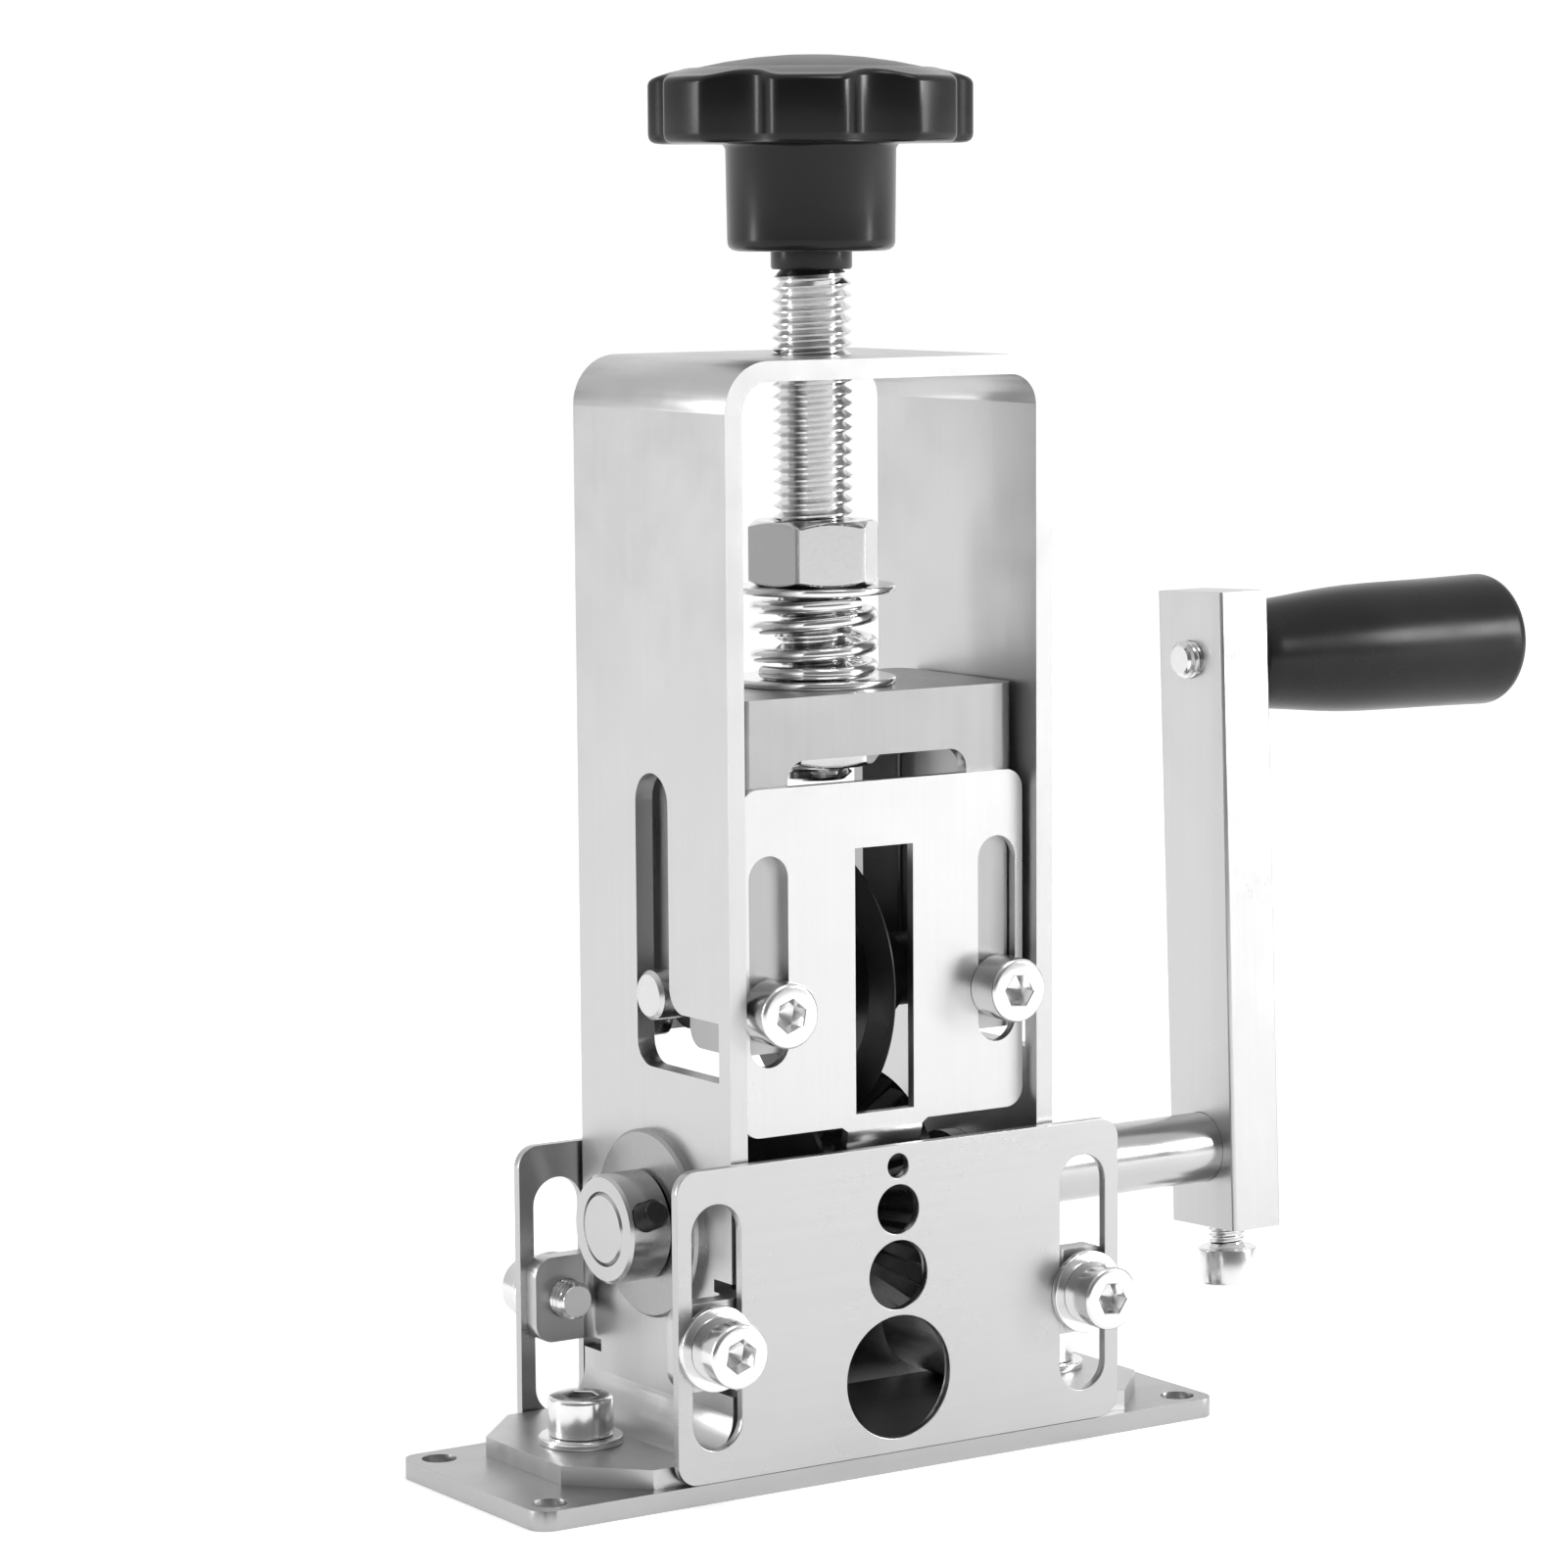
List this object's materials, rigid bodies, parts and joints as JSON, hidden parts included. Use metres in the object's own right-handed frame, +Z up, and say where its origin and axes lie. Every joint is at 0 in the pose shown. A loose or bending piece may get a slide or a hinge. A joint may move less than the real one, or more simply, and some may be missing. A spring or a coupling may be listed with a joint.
{
  "type": "hand crank wire stripper",
  "caption": "Bench wire stripper: a hand crank turns a toothed grooved wheel that feeds cable under a round blade, set by a knob, screw and spring in a folded steel frame.",
  "frame": {"origin": "middle of the base plate's underside, which is the centre of its four mounting holes", "axes": "+X along the drive shaft towards the crank; +Y from the cable's entry to its exit; +Z up"},
  "size_m": [0.2684, 0.0812, 0.2822],
  "materials": {
    "frame_steel": "satin bright zinc plating",
    "carriage_steel": "satin bright zinc plating",
    "guide_steel": "fine satin",
    "screw_steel": "polished",
    "washer_steel": "bright",
    "bearing_steel": "turned",
    "shaft_steel": "ground",
    "black_steel": "black oxide",
    "wheel_steel": "black oxide",
    "arm_steel": "satin",
    "grip_plastic": "satin black",
    "knob_plastic": "gloss black",
    "thread_steel": "bright rolled thread",
    "nut_steel": "bright",
    "spring_steel": "bright wire",
    "blade_steel": "dark hardened steel"
  },
  "bodies": {
    "stand": {"base_plate": "frame_steel", "frame": "frame_steel", "foot_screws": "screw_steel", "foot_washers": "washer_steel", "left_bearing": "bearing_steel", "right_bearing": "bearing_steel", "front_guide_screws": "screw_steel", "front_guide_washers": "washer_steel", "rear_guide_screws": "screw_steel", "rear_guide_washers": "washer_steel"},
    "crank": {"drive_shaft": "shaft_steel", "shaft_collars": "shaft_steel", "collar_grub_screws": "black_steel", "drive_wheel": "wheel_steel", "wheel_key": "shaft_steel", "wheel_grub_screw": "black_steel", "crank_arm": "arm_steel", "crank_clamp_screw": "screw_steel", "handle_spindle": "shaft_steel"},
    "grip": {"handle_grip": "grip_plastic", "grip_cap": "grip_plastic"},
    "spring_seat": {"upper_spring_washer": "washer_steel", "pressure_spring": "spring_steel"},
    "screw": {"adjusting_screw": "thread_steel", "knob": "knob_plastic", "knob_sleeve": "knob_plastic", "upper_nut": "nut_steel", "lifting_nut": "nut_steel"},
    "carriage": {"blade_carriage": "carriage_steel", "lower_spring_washer": "washer_steel", "blade_axle": "thread_steel", "axle_spacers": "black_steel", "guard_screws": "screw_steel"},
    "blade": {"blade": "blade_steel", "blade_hubs": "black_steel"},
    "guard": {"guard_plate": "guide_steel"},
    "front_guide": {"front_guide_plate": "guide_steel"},
    "rear_guide": {"rear_guide_plate": "guide_steel"}
  },
  "joints": [
    {"name": "crank_turn", "type": "hinge", "parent": "stand", "child": "crank", "pos_m": [0.0025, 0.003, 0.0504], "axis": [1, 0, 0], "continuous": true},
    {"name": "grip_turn", "type": "hinge", "parent": "crank", "child": "grip", "pos_m": [0.1147, 0.0074, 0.15531], "axis": [1, 0, 0], "continuous": true},
    {"name": "screw_travel", "type": "slide", "parent": "stand", "child": "spring_seat", "axis": [0, 0, 1], "range_m": [-0.00045, 0.0281]},
    {"name": "screw_turn", "type": "hinge", "parent": "spring_seat", "child": "screw", "pos_m": [0.0025, 0.003, 0.1372], "axis": [0, 0, 1], "range_deg": [-72, 5040]},
    {"name": "carriage_press", "type": "slide", "parent": "spring_seat", "child": "carriage", "axis": [0, 0, 1], "range_m": [0, 0.002], "stiffness_N_per_m": 20000, "springref_m": -0.001, "deforming": ["pressure_spring"]},
    {"name": "blade_turn", "type": "hinge", "parent": "carriage", "child": "blade", "pos_m": [0.0025, 0.003, 0.0964], "axis": [1, 0, 0], "continuous": true},
    {"name": "guard_slide", "type": "slide", "parent": "carriage", "child": "guard", "axis": [0, 0, 1], "range_m": [-0.0005, 0.007]},
    {"name": "front_guide_slide", "type": "slide", "parent": "stand", "child": "front_guide", "axis": [0, 0, 1], "range_m": [0, 0.016]},
    {"name": "rear_guide_slide", "type": "slide", "parent": "stand", "child": "rear_guide", "axis": [0, 0, 1], "range_m": [0, 0.02]}
  ],
  "couplings": [
    {"joint": "screw_travel", "follows": "screw_turn", "m_per_rad": 0.00031831}
  ]
}
